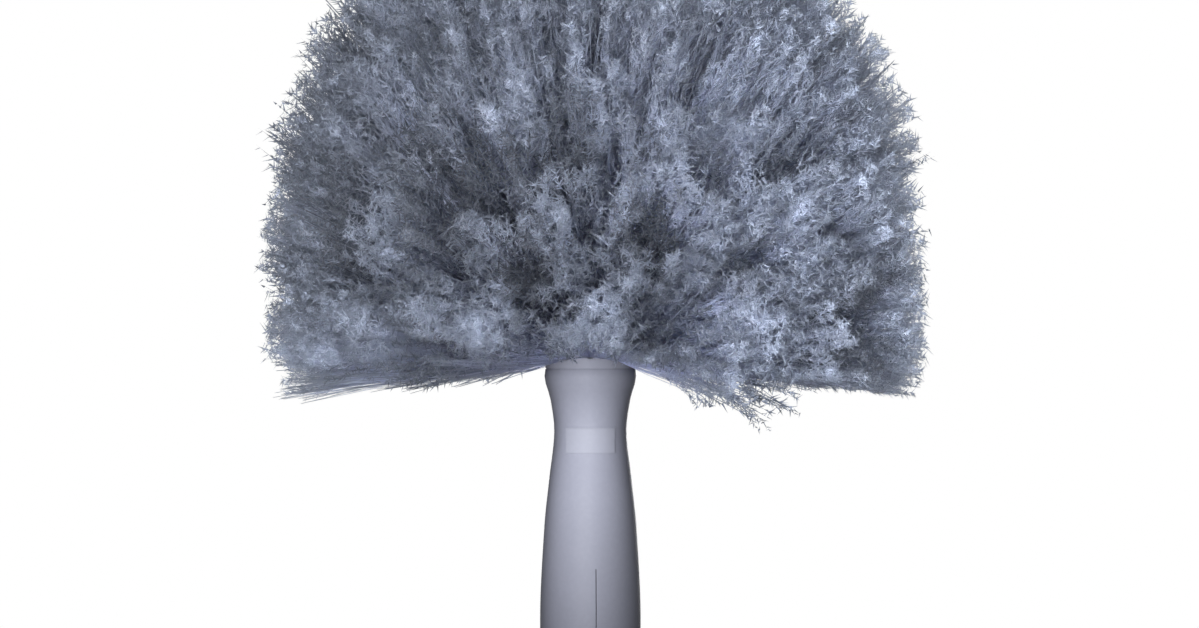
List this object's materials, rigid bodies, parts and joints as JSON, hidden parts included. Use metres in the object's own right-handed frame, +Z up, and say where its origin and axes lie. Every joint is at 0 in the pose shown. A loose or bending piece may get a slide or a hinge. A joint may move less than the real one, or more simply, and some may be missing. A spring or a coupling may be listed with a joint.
{
  "type": "cobweb duster",
  "caption": "Cobweb duster head: a dome of long splayed bristle tufts in a round block, on a hollow tapered handle whose split socket takes an extension pole.",
  "frame": {"origin": "centre of the handle's open end face, where the pole goes in", "axes": "+Z up the axis from the handle to the crown of the bristles; -Y is the front, with the bare pad; +X to the right of the front"},
  "size_m": [0.2241, 0.2238, 0.2902],
  "materials": {
    "handle_plastic": "satin moulded plastic, light blue grey",
    "block_plastic": "satin moulded plastic, light blue grey",
    "bristle": "fine crimped filaments with split tips, slate grey, paler at the tips",
    "zinc_steel": "zinc plated"
  },
  "bodies": {
    "root": {"handle": "handle_plastic", "bristle_block": "block_plastic", "block_screw": "zinc_steel", "screw_washer": "zinc_steel", "tuft_row1_01": "bristle", "tuft_row1_02": "bristle", "tuft_row1_03": "bristle", "tuft_row1_04": "bristle", "tuft_row1_05": "bristle", "tuft_row1_06": "bristle", "tuft_row1_07": "bristle", "tuft_row1_08": "bristle", "tuft_row1_09": "bristle", "tuft_row1_10": "bristle", "tuft_row1_11": "bristle", "tuft_row1_12": "bristle", "tuft_row1_13": "bristle", "tuft_row1_14": "bristle", "tuft_row2_01": "bristle", "tuft_row2_02": "bristle", "tuft_row2_03": "bristle", "tuft_row2_04": "bristle", "tuft_row2_05": "bristle", "tuft_row2_06": "bristle", "tuft_row2_07": "bristle", "tuft_row2_08": "bristle", "tuft_row2_09": "bristle", "tuft_row2_10": "bristle", "tuft_row2_11": "bristle", "tuft_row2_12": "bristle", "tuft_row2_13": "bristle", "tuft_row2_14": "bristle", "tuft_row3_01": "bristle", "tuft_row3_02": "bristle", "tuft_row3_03": "bristle", "tuft_row3_04": "bristle", "tuft_row3_05": "bristle", "tuft_row3_06": "bristle", "tuft_row3_07": "bristle", "tuft_row3_08": "bristle", "tuft_row3_09": "bristle", "tuft_row3_10": "bristle", "tuft_row3_11": "bristle", "tuft_row3_12": "bristle", "tuft_row4_01": "bristle", "tuft_row4_02": "bristle", "tuft_row4_03": "bristle", "tuft_row4_04": "bristle", "tuft_row4_05": "bristle", "tuft_row4_06": "bristle", "tuft_row4_07": "bristle", "tuft_row4_08": "bristle", "tuft_row4_09": "bristle", "tuft_row5_01": "bristle", "tuft_row5_02": "bristle", "tuft_row5_03": "bristle", "tuft_row5_04": "bristle", "tuft_row5_05": "bristle"}
  },
  "joints": []
}
